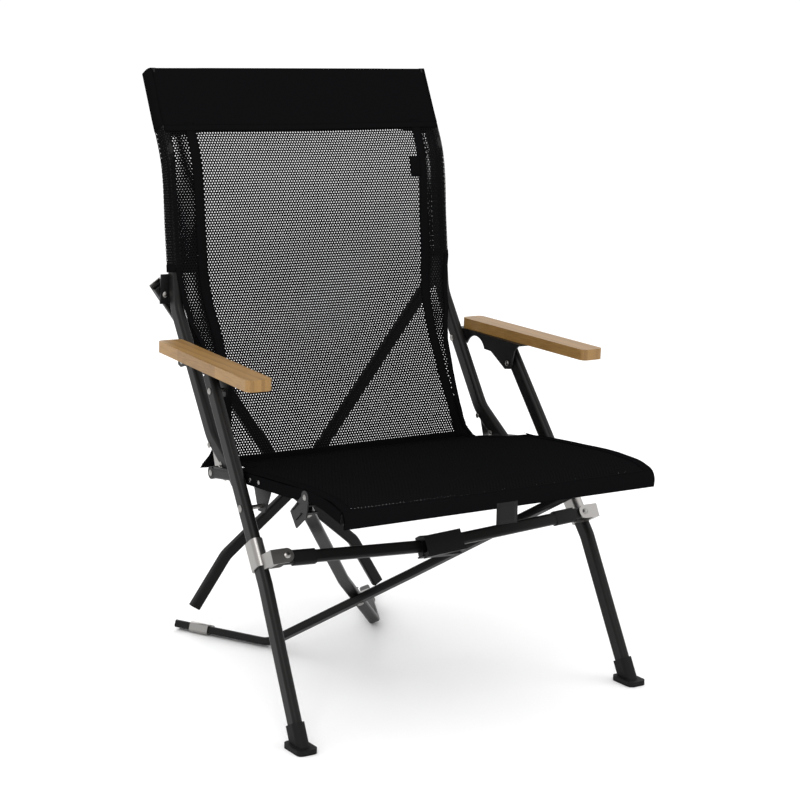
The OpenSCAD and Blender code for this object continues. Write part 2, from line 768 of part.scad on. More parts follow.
// Cloth line in the side plane: along the front of the back tubes and the top of the rails
sling_y = tube_d / 2 + 2.4;
back_line = [[back_top_y - sling_y - 1.4, back_top_z - 4], neck + [-sling_y - 0.2, 0],
    waist + [-sling_y - 1.6, 0], [knee[0] + 26, seat_pivot_z + 46], [64, seat_pivot_z - 4]];
rail_top = rail_d / 2 + 1.8;
seat_line = [[64, seat_pivot_z - 8], [30, seat_pivot_z + 2], [0, seat_pivot_z + rail_top],
    [-100, seat_pivot_z + 13 + rail_top], [-300, seat_pivot_z + 23 + rail_top],
    [-rail_reach - 3.5, seat_pivot_z + 12 + rail_top], [-fabric_front + fabric_t, seat_pivot_z]];

function line_normal(a, b) = [-(b - a)[1], (b - a)[0]] / norm(b - a);
// Band of thickness t to one side of a line
module cloth_line(line, t) {
    last = len(line) - 1;
    polygon(concat(line, [for (i = [last : -1 : 0])
        line[i] + t * unit(line_normal(line[max(0, i - 1)], line[max(1, i)])
            + line_normal(line[min(last - 1, i)], line[min(last, i + 1)]))]));
}

module back_fabric() {
    color(cloth) intersection() {
        in_side_plane(0, 2 * back_half + 12) cloth_line(back_line, -fabric_t);
        framed([1, 0, 0], [0, 0, 1], [0, -1, 0], [0, 400, 0]) linear_extrude(600) polygon([
            [-back_half - 6, 900], [back_half + 6, 900], [back_half + 4, 578], [back_half - 21, 475],
            [back_half - 19, 425], [back_half + 4, seat_pivot_z - 4], [-back_half - 4, seat_pivot_z - 4],
            [19 - back_half, 425], [21 - back_half, 475], [-back_half - 4, 578]]);
    }
}

module seat_fabric() {
    color(cloth) intersection() {
        in_side_plane(0, 2 * rail_half + 14) cloth_line(seat_line, -fabric_t);
        linear_extrude(800) polygon([
            [-rail_half - 6, -400], [rail_half + 6, -400], [rail_half + 6, -58], [back_half - 12, -56], [back_half - 12, 30],
            [back_half + 2, 70], [-back_half - 2, 70], [12 - back_half, 30], [12 - back_half, -56], [-rail_half - 6, -58]]);
    }
}

// Plain tag hanging from the front hem
module label_tag() {
    color(cloth) translate([-17, -fabric_front - 2.2, seat_pivot_z - 26]) cube([34, 1.2, 34]);
}

// ---------------------------------------------------------------- the chair

translate([0, depth_shift, 0]) back_tube(right);  // back_tube_right
translate([0, depth_shift, 0]) back_tube(left);  // back_tube_left
translate([0, depth_shift, 0]) back_plugs(right);  // back_plugs_right
translate([0, depth_shift, 0]) back_plugs(left);  // back_plugs_left
translate([0, depth_shift, 0]) seat_hinge_plate(right);  // seat_hinge_plate_right
translate([0, depth_shift, 0]) seat_hinge_plate(left);  // seat_hinge_plate_left
translate([0, depth_shift, 0]) brace_seat(right);  // brace_seat_right
translate([0, depth_shift, 0]) brace_seat(left);  // brace_seat_left
translate([0, depth_shift, 0]) back_pins(right);  // back_pins_right
translate([0, depth_shift, 0]) back_pins(left);  // back_pins_left
translate([0, depth_shift, 0]) brace(right);  // brace_right
translate([0, depth_shift, 0]) brace(left);  // brace_left
translate([0, depth_shift, 0]) brace_strap(right);  // brace_strap_right
translate([0, depth_shift, 0]) brace_strap(left);  // brace_strap_left
translate([0, depth_shift, 0]) brace_plugs(right);  // brace_plugs_right
translate([0, depth_shift, 0]) brace_plugs(left);  // brace_plugs_left
translate([0, depth_shift, 0]) seat_rail(right);  // seat_rail_right
translate([0, depth_shift, 0]) seat_rail(left);  // seat_rail_left
translate([0, depth_shift, 0]) rail_hanger(right);  // rail_hanger_right
translate([0, depth_shift, 0]) rail_hanger(left);  // rail_hanger_left
translate([0, depth_shift, 0]) rail_pins(right);  // rail_pins_right
translate([0, depth_shift, 0]) rail_pins(left);  // rail_pins_left
translate([0, depth_shift, 0]) rail_plugs(right);  // rail_plugs_right
translate([0, depth_shift, 0]) rail_plugs(left);  // rail_plugs_left
translate([0, depth_shift, 0]) front_leg(right);  // front_leg_right
translate([0, depth_shift, 0]) front_leg(left);  // front_leg_left
translate([0, depth_shift, 0]) leg_plug(right);  // leg_plug_right
translate([0, depth_shift, 0]) leg_plug(left);  // leg_plug_left
translate([0, depth_shift, 0]) foot(right);  // foot_right
translate([0, depth_shift, 0]) foot(left);  // foot_left
translate([0, depth_shift, 0]) stay_clamp(right);  // stay_clamp_right
translate([0, depth_shift, 0]) stay_clamp(left);  // stay_clamp_left
translate([0, depth_shift, 0]) leg_pins(right);  // leg_pins_right
translate([0, depth_shift, 0]) leg_pins(left);  // leg_pins_left
translate([0, depth_shift, 0]) arm_bracket(right);  // arm_bracket_right
translate([0, depth_shift, 0]) arm_bracket(left);  // arm_bracket_left
translate([0, depth_shift, 0]) armrest(right);  // armrest_right
translate([0, depth_shift, 0]) armrest(left);  // armrest_left
translate([0, depth_shift, 0]) arm_screws(right);  // arm_screws_right
translate([0, depth_shift, 0]) arm_screws(left);  // arm_screws_left
translate([0, depth_shift, 0]) front_clip(right);  // front_clip_right
translate([0, depth_shift, 0]) front_clip(left);  // front_clip_left
translate([0, depth_shift, 0]) clip_pins(right);  // clip_pins_right
translate([0, depth_shift, 0]) clip_pins(left);  // clip_pins_left
translate([0, depth_shift, 0]) base_tube(right);  // base_tube_right
translate([0, depth_shift, 0]) base_tube(left);  // base_tube_left
translate([0, depth_shift, 0]) base_plugs(right);  // base_plugs_right
translate([0, depth_shift, 0]) base_plugs(left);  // base_plugs_left
translate([0, depth_shift, 0]) base_hinge(right);  // base_hinge_right
translate([0, depth_shift, 0]) base_hinge(left);  // base_hinge_left
translate([0, depth_shift, 0]) stay(right);  // stay_right
translate([0, depth_shift, 0]) stay(left);  // stay_left
translate([0, depth_shift, 0]) stay_socket(right);  // stay_socket_right
translate([0, depth_shift, 0]) stay_socket(left);  // stay_socket_left
translate([0, depth_shift, 0]) stay_lock(right);  // stay_lock_right
translate([0, depth_shift, 0]) stay_lock(left);  // stay_lock_left
translate([0, depth_shift, 0]) brace_cross_pin();
translate([0, depth_shift, 0]) base_cross_pin();
translate([0, depth_shift, 0]) back_fabric();
translate([0, depth_shift, 0]) {
    seat_fabric();
    label_tag();
}
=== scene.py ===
import math

import bpy
import numpy as np
from bpy.props import FloatProperty, FloatVectorProperty, PointerProperty
from mathutils import Matrix, Vector


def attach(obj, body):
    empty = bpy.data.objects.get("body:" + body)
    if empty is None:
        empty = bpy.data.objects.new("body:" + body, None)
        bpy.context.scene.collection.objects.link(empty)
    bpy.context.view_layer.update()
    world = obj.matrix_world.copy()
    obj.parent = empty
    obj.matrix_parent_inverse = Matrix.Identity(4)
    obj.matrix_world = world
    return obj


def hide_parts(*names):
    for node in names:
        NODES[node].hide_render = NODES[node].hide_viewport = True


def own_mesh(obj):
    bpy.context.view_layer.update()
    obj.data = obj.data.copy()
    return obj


bl_info = {
    "name": "Folding mesh lounge chair",
    "version": (1, 0, 0),
    "blender": (4, 5, 0),
    "location": "3D View > Sidebar > Chair",
    "description": "Builds the cloth, materials and studio of a folding mesh lounge chair",
    "category": "Object",
}

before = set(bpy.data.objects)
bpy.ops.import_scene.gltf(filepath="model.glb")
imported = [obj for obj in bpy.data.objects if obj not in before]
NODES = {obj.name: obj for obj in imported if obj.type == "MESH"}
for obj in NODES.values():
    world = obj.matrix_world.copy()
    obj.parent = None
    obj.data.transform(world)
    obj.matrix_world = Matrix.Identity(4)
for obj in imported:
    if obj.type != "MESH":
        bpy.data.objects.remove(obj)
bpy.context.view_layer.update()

# Metres, in the frame of the CAD model; SHIFT is how far the seat pivots stand behind the origin
RAIL_X = 0.2475
SHIFT = 0.042936
BAND_BOTTOM_Z = 0.782
SLEEVE_BOTTOM_Z = 0.578
CLEAR_Z = 0.580
BACK_EDGE_X = 0.2408
BAND_EDGE_X = 0.2368
PANEL_EDGE_X = 0.2365
SEAT_EDGE_X = 0.252
CUT_START = 0.001

STRIP_WIDTH = 0.0052


# ------------------------------------------------------------------ settings


class ClothSettings(bpy.types.PropertyGroup):
    pitch: FloatProperty(
        name="Hole pitch",
        description="Distance between the holes of the mesh",
        default=0.0044,
        min=0.004, max=0.012, unit="LENGTH",
    )
    hole: FloatProperty(
        name="Hole radius",
        description="Radius of each hole of the mesh",
        default=0.00126,
        min=0.0005, max=0.004, unit="LENGTH",
    )
    cloth_color: FloatVectorProperty(
        name="Cloth colour",
        description="Colour of the mesh cloth",
        default=(0.0050, 0.0050, 0.0054),
        subtype="COLOR", min=0, max=1,
    )
    hem_color: FloatVectorProperty(
        name="Hem colour",
        description="Colour of the hems and seams",
        default=(0.0042, 0.0042, 0.0046),
        subtype="COLOR", min=0, max=1,
    )


class FrameSettings(bpy.types.PropertyGroup):
    tube_color: FloatVectorProperty(
        name="Tube colour",
        description="Colour of the anodised tubes",
        default=(0.0055, 0.0052, 0.0050),
        subtype="COLOR", min=0, max=1,
    )
    steel_color: FloatVectorProperty(
        name="Steel colour",
        description="Colour of the brackets and rivets",
        default=(0.30, 0.29, 0.28),
        subtype="COLOR", min=0, max=1,
    )
    bamboo_light: FloatVectorProperty(
        name="Light bamboo",
        description="Colour of the light bamboo strips",
        default=(0.33, 0.185, 0.055),
        subtype="COLOR", min=0, max=1,
    )
    bamboo_dark: FloatVectorProperty(
        name="Dark bamboo",
        description="Colour of the dark bamboo strips",
        default=(0.19, 0.098, 0.025),
        subtype="COLOR", min=0, max=1,
    )


class StageSettings(bpy.types.PropertyGroup):
    light: FloatProperty(
        name="Light",
        description="Strength of the studio light",
        default=1.0,
        min=0,
        max=10,
    )


# ------------------------------------------------------------------ materials


def shader(name, color, rough=0.5, metallic=0.0, specular=0.5, coat=0.0):
    mat = bpy.data.materials.new(name)
    mat.use_nodes = True
    bsdf = mat.node_tree.nodes["Principled BSDF"]
    bsdf.inputs["Base Color"].default_value = (*color, 1)
    bsdf.inputs["Roughness"].default_value = rough
    bsdf.inputs["Metallic"].default_value = metallic
    bsdf.inputs["Specular IOR Level"].default_value = specular
    if coat:
        bsdf.inputs["Coat Weight"].default_value = coat
        bsdf.inputs["Coat Roughness"].default_value = 0.25
    return mat


def grain_group():
    """Fine surface grain: puts out a mask and a normal."""
    group = bpy.data.node_groups.new("fine_grain", "ShaderNodeTree")
    face = group.interface
    scale = face.new_socket("Scale", in_out="INPUT", socket_type="NodeSocketFloat")
    scale.default_value = 400.0
    depth = face.new_socket("Depth", in_out="INPUT", socket_type="NodeSocketFloat")
    depth.default_value = 0.1
    face.new_socket("Mask", in_out="OUTPUT", socket_type="NodeSocketFloat")
    face.new_socket("Normal", in_out="OUTPUT", socket_type="NodeSocketVector")
    nodes, links = group.nodes, group.links
    inp, out = nodes.new("NodeGroupInput"), nodes.new("NodeGroupOutput")
    place = nodes.new("ShaderNodeTexCoord")
    noise = nodes.new("ShaderNodeTexNoise")
    noise.inputs["Detail"].default_value = 3.0
    bump = nodes.new("ShaderNodeBump")
    bump.inputs["Distance"].default_value = 0.0004
    links.new(place.outputs["Object"], noise.inputs["Vector"])
    links.new(inp.outputs["Scale"], noise.inputs["Scale"])
    links.new(noise.outputs["Fac"], bump.inputs["Height"])
    links.new(inp.outputs["Depth"], bump.inputs["Strength"])
    links.new(noise.outputs["Fac"], out.inputs["Mask"])
    links.new(bump.outputs["Normal"], out.inputs["Normal"])
    return group


def bamboo_group():
    """Glued bamboo strips running along Y: puts out a colour and a mask."""
    group = bpy.data.node_groups.new("bamboo_strips", "ShaderNodeTree")
    face = group.interface
    for name in ("Light", "Dark"):
        face.new_socket(name, in_out="INPUT", socket_type="NodeSocketColor")
    face.new_socket("Color", in_out="OUTPUT", socket_type="NodeSocketColor")
    face.new_socket("Mask", in_out="OUTPUT", socket_type="NodeSocketFloat")
    nodes, links = group.nodes, group.links
    inp, out = nodes.new("NodeGroupInput"), nodes.new("NodeGroupOutput")
    place = nodes.new("ShaderNodeTexCoord")
    split = nodes.new("ShaderNodeSeparateXYZ")
    links.new(place.outputs["Object"], split.inputs[0])
    cells = nodes.new("ShaderNodeMath")
    cells.operation = "MULTIPLY"
    cells.inputs[1].default_value = 1 / STRIP_WIDTH
    links.new(split.outputs["X"], cells.inputs[0])
    floor = nodes.new("ShaderNodeMath")
    floor.operation = "FLOOR"
    links.new(cells.outputs[0], floor.inputs[0])
    tone = nodes.new("ShaderNodeTexWhiteNoise")
    tone.noise_dimensions = "1D"
    links.new(floor.outputs[0], tone.inputs["W"])
    stretch = nodes.new("ShaderNodeVectorMath")
    stretch.operation = "MULTIPLY"
    stretch.inputs[1].default_value = (900.0, 28.0, 500.0)
    links.new(place.outputs["Object"], stretch.inputs[0])
    fibre = nodes.new("ShaderNodeTexNoise")
    fibre.inputs["Scale"].default_value = 1.0
    fibre.inputs["Detail"].default_value = 4.0
    links.new(stretch.outputs[0], fibre.inputs["Vector"])
    mix = nodes.new("ShaderNodeMath")
    mix.operation = "MULTIPLY_ADD"
    mix.inputs[1].default_value = 0.45
    links.new(tone.outputs["Value"], mix.inputs[0])
    links.new(fibre.outputs["Fac"], mix.inputs[2])
    ramp = nodes.new("ShaderNodeMapRange")
    ramp.inputs["From Min"].default_value = 0.35
    ramp.inputs["From Max"].default_value = 1.05
    links.new(mix.outputs[0], ramp.inputs["Value"])
    blend = nodes.new("ShaderNodeMix")
    blend.data_type = "RGBA"
    links.new(ramp.outputs["Result"], blend.inputs["Factor"])
    links.new(inp.outputs["Light"], blend.inputs["A"])
    links.new(inp.outputs["Dark"], blend.inputs["B"])
    links.new(blend.outputs["Result"], out.inputs["Color"])
    links.new(ramp.outputs["Result"], out.inputs["Mask"])
    return group


def add_grain(mat, scale, depth, low, high):
    """Gives a material fine grain in its normal and its roughness."""
    nodes, links = mat.node_tree.nodes, mat.node_tree.links
    grain = nodes.new("ShaderNodeGroup")
    grain.node_tree = bpy.data.node_groups.get("fine_grain") or grain_group()
    grain.inputs["Scale"].default_value = scale
    grain.inputs["Depth"].default_value = depth
    rough = nodes.new("ShaderNodeMapRange")
    rough.inputs["To Min"].default_value = low
    rough.inputs["To Max"].default_value = high
    links.new(grain.outputs["Mask"], rough.inputs["Value"])
    bsdf = nodes["Principled BSDF"]
    links.new(rough.outputs["Result"], bsdf.inputs["Roughness"])
    links.new(grain.outputs["Normal"], bsdf.inputs["Normal"])
    return mat


def paint(mat, *starts):
    """Puts a material on every CAD node whose name starts with one of these."""
    for name, node in NODES.items():
        if name.startswith(starts):
            node.data.materials.clear()
            node.data.materials.append(mat)


# ------------------------------------------------------------------ cloth


def smooth_path(points, steps=160):
    """A smooth curve through 2-D points, as (arc lengths, points)."""
    p = np.array(points, float)
    knots = np.concatenate([[0], np.cumsum(np.linalg.norm(np.diff(p, axis=0), axis=1))])
    slope = np.gradient(p, knots, axis=0)
    t = np.linspace(0, knots[-1], steps)
    i = np.clip(np.searchsorted(knots, t, side="right") - 1, 0, len(p) - 2)
    h = (knots[i + 1] - knots[i])[:, None]
    u = ((t - knots[i])[:, None]) / h
    out = (
        (2 * u**3 - 3 * u**2 + 1) * p[i]
        + (u**3 - 2 * u**2 + u) * h * slope[i]
        + (-2 * u**3 + 3 * u**2) * p[i + 1]
        + (u**3 - u**2) * h * slope[i + 1]
    )
    arc = np.concatenate([[0], np.cumsum(np.linalg.norm(np.diff(out, axis=0), axis=1))])
    return arc, out


class Line:
    """A curve in the side plane, in metres, that gives a point and a normal at an arc length."""

    def __init__(self, points):
        self.arc, self.points = smooth_path([(y / 1000 + SHIFT, z / 1000) for y, z in points])
        self.length = self.arc[-1]
        tangent = np.gradient(self.points, self.arc, axis=0)
        tangent /= np.linalg.norm(tangent, axis=1)[:, None]
        self.normal = np.stack([tangent[:, 1], -tangent[:, 0]], axis=1)

    def at(self, v, off=0.0):
        y = np.interp(v, self.arc, self.points[:, 0]) + off * np.interp(v, self.arc, self.normal[:, 0])
        z = np.interp(v, self.arc, self.points[:, 1]) + off * np.interp(v, self.arc, self.normal[:, 1])
        return y, z

    def where_z(self, z):
        return float(np.interp(-z, -self.points[:, 1], self.arc))


# Side lines, as (y behind the seat pivot, z) in millimetres
# Front face of the back cloth, from the top down
BACK = Line(
    [(219.5, 869), (186, 803), (157.5, 742), (142.5, 630), (130, 536), (98, 462), (69, 392), (57, 340), (58, 304.5)]
)
# Cloth of the seat, from the rear edge to the front hem
SEAT = Line(
    [(60, 304), (36, 309), (0, 317), (-100, 331), (-200, 338), (-300, 341)]
    + [(-345, 336.5), (-361, 330), (-365.5, 321), (-364.5, 309)]
)
# Middle of a back tube, from the top down to the end of its sleeve
TUBE = Line([(231, 864.5), (202, 804), (172.5, 742), (158, 630), (147.5, 540)])
# Top of a seat rail, under its sleeve
RAIL = Line([(-62, 321.8), (-100, 322.8), (-200, 327.6), (-300, 332.6), (-357, 322.4)])


def mesh_object(name, verts, faces, mat):
    mesh = bpy.data.meshes.new(name)
    mesh.from_pydata([tuple(v) for v in verts], [], faces)
    mesh.update()
    mesh.materials.append(mat)
    obj = bpy.data.objects.new(name, mesh)
    bpy.context.collection.objects.link(obj)
    return obj


def net(name, u_range, v_range, inside, place, mat, coarse=1.0, deep=None, fade=None):
    """Cloth with a hexagonal lattice of holes, as (object, area of cloth).

    u and v are lengths in the flat cloth. coarse scales the lattice, deep(v) is the depth of the rims
    that give the cloth its thickness, and fade(v) scales the holes alone.
    """
    cloth = bpy.context.scene.chair_cloth
    pitch = cloth.pitch * coarse
    row = pitch * math.sqrt(3) / 2
    verts, faces, index = [], [], {}

    def vertex(u, v):
        key = (round(u * 1e6), round(v * 1e6))
        if key not in index:
            index[key] = len(verts)
            verts.append((u, v, 0.0))
        return index[key]

    def join(first, second):
        for k in range(6):
            m = (k + 1) % 6
            faces.append((first[k], first[m], second[m], second[k]))

    corner = pitch / math.sqrt(3)
    ring = [math.radians(30 + 60 * k) for k in range(6)]
    area = 0.0
    rows = int((v_range[1] - v_range[0]) / row) + 1
    columns = int((u_range[1] - u_range[0]) / pitch) + 1
    for j in range(rows):
        v = v_range[0] + corner + row * j
        for i in range(columns):
            u = u_range[0] + pitch * (i + 0.5 + 0.5 * (j % 2))
            if not inside(u, v):
                continue
            hole = cloth.hole * coarse * (fade(v) if fade else 1.0)
            area += pitch * row - 1.5 * math.sqrt(3) * hole * hole
            outer = []
            for a in ring:
                gu = round((u + corner * math.cos(a) - u_range[0]) / (pitch / 2))
                gv = round((v + corner * math.sin(a) - v_range[0]) / (corner / 2))
                outer.append(vertex(u_range[0] + gu * pitch / 2, v_range[0] + gv * corner / 2))
            start = len(verts)
            verts.extend((u + hole * math.cos(a), v + hole * math.sin(a), 0.0) for a in ring)
            join(outer, range(start, start + 6))
            if deep:
                verts.extend((u + hole * math.cos(a), v + hole * math.sin(a), -deep(v)) for a in ring)
                join(range(start, start + 6), range(start + 6, start + 12))
    uv = np.array(verts)
    obj = mesh_object(name, place(uv[:, 0], uv[:, 1], uv[:, 2]), faces, mat)
    return obj, area


def patch(name, us, vs, place, mat, thickness=0.0):
    """A plain cloth surface over a grid of u and v."""
    u, v = np.meshgrid(us, vs)
    points = place(u.ravel(), v.ravel())
    n, faces = len(us), []
    for j in range(len(vs) - 1):
        for i in range(n - 1):
            a = j * n + i
            faces.append((a, a + 1, a + n + 1, a + n))
    obj = mesh_object(name, points, faces, mat)
    for face in obj.data.polygons:
        face.use_smooth = True
    if thickness:
        solid = obj.modifiers.new("thickness", "SOLIDIFY")
        solid.thickness = thickness
        solid.offset = 0
    return obj


def wrinkles(x, v, length):
    """Shallow creases that gather towards the lower corners of the back and die out before its edges."""
    low = np.clip((v - length * 0.55) / (length * 0.45), 0, 1)
    edge = np.clip((np.abs(x) - 0.08) / 0.09, 0, 1) * np.clip((0.205 - np.abs(x)) / 0.03, 0, 1)
    return 0.0012 * low * edge * np.sin(np.abs(x) * 160 + v * 38) + 0.0008 * low * np.sin(v * 90 + x * 12)


def back_sag(x, v):
    """The back hangs a little behind its side tubes in the middle."""
    run = np.clip(v / 0.3, 0, 1) * np.clip((BACK.length - v) / 0.16, 0, 1)
    return -0.010 * run * np.cos(np.clip(np.abs(x) / 0.17, 0, 1) * math.pi / 2) ** 1.2


def place_back(x, v, off=0.0):
    """Points of the back at x and v; off is how far they stand in front of the cloth."""
    y, z = BACK.at(v)
    depth = back_sag(x, v) + wrinkles(x, v, BACK.length)
    y2, z2 = BACK.at(v, 1.0)
    return np.stack([x, y + (y2 - y) * (depth + off), z + (z2 - z) * (depth + off)], axis=1)


def half_width(z):
    """Half width of the back cloth below its sleeves."""
    heights = [0.303, 0.312, 0.322, 0.338, 0.359, 0.409, 0.455, 0.480, 0.505, 0.530, 0.580]
    halves = [0.240, 0.233, 0.2235, 0.2165, 0.2115, 0.2075, 0.2105, 0.216, 0.2255, 0.229, 0.2365]
    return float(np.interp(z, heights, halves))


def seam_middle(z):
    """Middle of the sewn line where the sleeve of the back cloth returns to the panel."""
    heights = [0.305, 0.338, 0.409, 0.479, 0.542, 0.580, 0.78]
    middles = [0.214, 0.201, 0.188, 0.185, 0.191, 0.194, 0.1955]
    return float(np.interp(z, heights, middles))


def along_back(width, v):
    """A width of the back, which depends on its height, at each v."""
    return np.array([width(float(BACK.at(k)[1])) for k in v])


def sleeve_profile():
    """Section of a sleeve, from the front round the outside and the rear to the seam: arc lengths and (x, depth)."""
    outside = [(0.2365, -0.0135), (0.2395, -0.0118), (0.2412, -0.0080), (0.2414, 0.0), (0.2412, 0.0085)]
    rear = [(0.2395, 0.0122), (0.2360, 0.0138), (0.2300, 0.0136), (0.2240, 0.0105)]
    inside = [(0.2140, 0.0), (0.2040, -0.0085), (0.1960, -0.0118)]
    p = np.array(outside + rear + inside)
    arc = np.concatenate([[0], np.cumsum(np.linalg.norm(np.diff(p, axis=0), axis=1))])
    return arc, p


def place_sleeve(side):
    """A function that puts points round a back tube, and the length of the cloth round it."""
    arc, profile = sleeve_profile()

    def place(u, v, _off=0.0):
        x = np.interp(u, arc, profile[:, 0])
        depth = np.interp(u, arc, profile[:, 1])
        y, z = TUBE.at(v)
        y2, z2 = TUBE.at(v, 1.0)
        return np.stack([side * x, y - (y2 - y) * depth, z - (z2 - z) * depth], axis=1)

    return place, arc[-1]


def seat_drop(x, v):
    """The seat sags a little between its rails."""
    run = np.sin(np.clip(v / SEAT.length, 0, 1) * math.pi)
    return -0.007 * run * np.cos(np.clip(np.abs(x) / 0.24, 0, 1) * math.pi / 2)


def place_seat(x, v, off=0.0):
    """Points of the seat at x and v; off is how far they stand above the cloth."""
    y, z = SEAT.at(v)
    y2, z2 = SEAT.at(v, 1.0)
    depth = seat_drop(x, v) + off
    return np.stack([x, y + (y2 - y) * depth, z + (z2 - z) * depth], axis=1)


def seat_half(v):
    """Half width of the seat cloth, which narrows at the rear between the hinge plates."""
    y = float(np.interp(v, SEAT.arc, SEAT.points[:, 0])) - SHIFT
    in_front = [-0.062, -0.045, -0.030, 0.0, 0.040, 0.056, 0.066]
    halves = [0.236, 0.230, 0.2215, 0.2195, 0.2195, 0.222, 0.2515]
    return float(np.interp(-y, in_front, halves))


def gather(obj, body):
    """A piece rides on a body and gets its own copy of its mesh."""
    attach(obj, body)
    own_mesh(obj)


def on_back(obj):
    gather(obj, "back_right")


def on_seat(obj):
    gather(obj, "seat_right")


def on_left(obj, body):
    """A piece wrapped round a left tube moves with that tube and isn't gathered."""
    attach(obj, body)


# ------------------------------------------------------------------ operators


class CHAIR_OT_frame(bpy.types.Operator):
    """Gives the tubes, brackets, rivets and pads their materials"""

    bl_idname = "chair.frame"
    bl_label = "Frame materials"

    def execute(self, context):
        look = context.scene.chair_frame
        tube = add_grain(shader("anodised_tube", look.tube_color, 0.4, 0.0, 0.16), 900, 0.04, 0.34, 0.46)
        steel = add_grain(shader("brushed_bracket", look.steel_color, 0.3, 1.0), 700, 0.06, 0.22, 0.4)
        dark = add_grain(shader("black_bracket", (0.006, 0.006, 0.006), 0.4, 0.0, 0.2), 600, 0.08, 0.34, 0.46)
        plastic = add_grain(shader("moulded_plastic", (0.005, 0.005, 0.0055), 0.5, 0.0, 0.16), 700, 0.12, 0.42, 0.55)
        rubber = add_grain(shader("black_rubber", (0.005, 0.005, 0.005), 0.62, 0.0, 0.14), 500, 0.15, 0.55, 0.7)
        paint(steel, "seat_hinge_plate", "back_pins", "brace_strap", "rail_pins", "stay_clamp", "leg_pins")
        paint(steel, "arm_screws", "clip_pins", "base_hinge", "brace_cross_pin", "base_cross_pin")
        paint(tube, "back_tube", "brace_right", "brace_left", "seat_rail", "front_leg", "base_tube")
        paint(tube, "stay_right", "stay_left")
        paint(dark, "arm_bracket", "brace_seat_", "rail_hanger", "front_clip")
        paint(plastic, "back_plugs", "brace_plugs", "rail_plugs", "leg_plug", "base_plugs", "stay_socket", "stay_lock")
        paint(rubber, "foot")
        return {"FINISHED"}


class CHAIR_OT_armrests(bpy.types.Operator):
    """Gives the armrests their glued bamboo strips"""

    bl_idname = "chair.armrests"
    bl_label = "Armrests"

    def execute(self, context):
        look = context.scene.chair_frame
        mat = shader("bamboo_wood", look.bamboo_light, 0.42, 0.0, 0.45)
        nodes, links = mat.node_tree.nodes, mat.node_tree.links
        strips = nodes.new("ShaderNodeGroup")
        strips.node_tree = bamboo_group()
        strips.inputs["Light"].default_value = (*look.bamboo_light, 1)
        strips.inputs["Dark"].default_value = (*look.bamboo_dark, 1)
        links.new(strips.outputs["Color"], nodes["Principled BSDF"].inputs["Base Color"])
        paint(mat, "armrest")
        return {"FINISHED"}


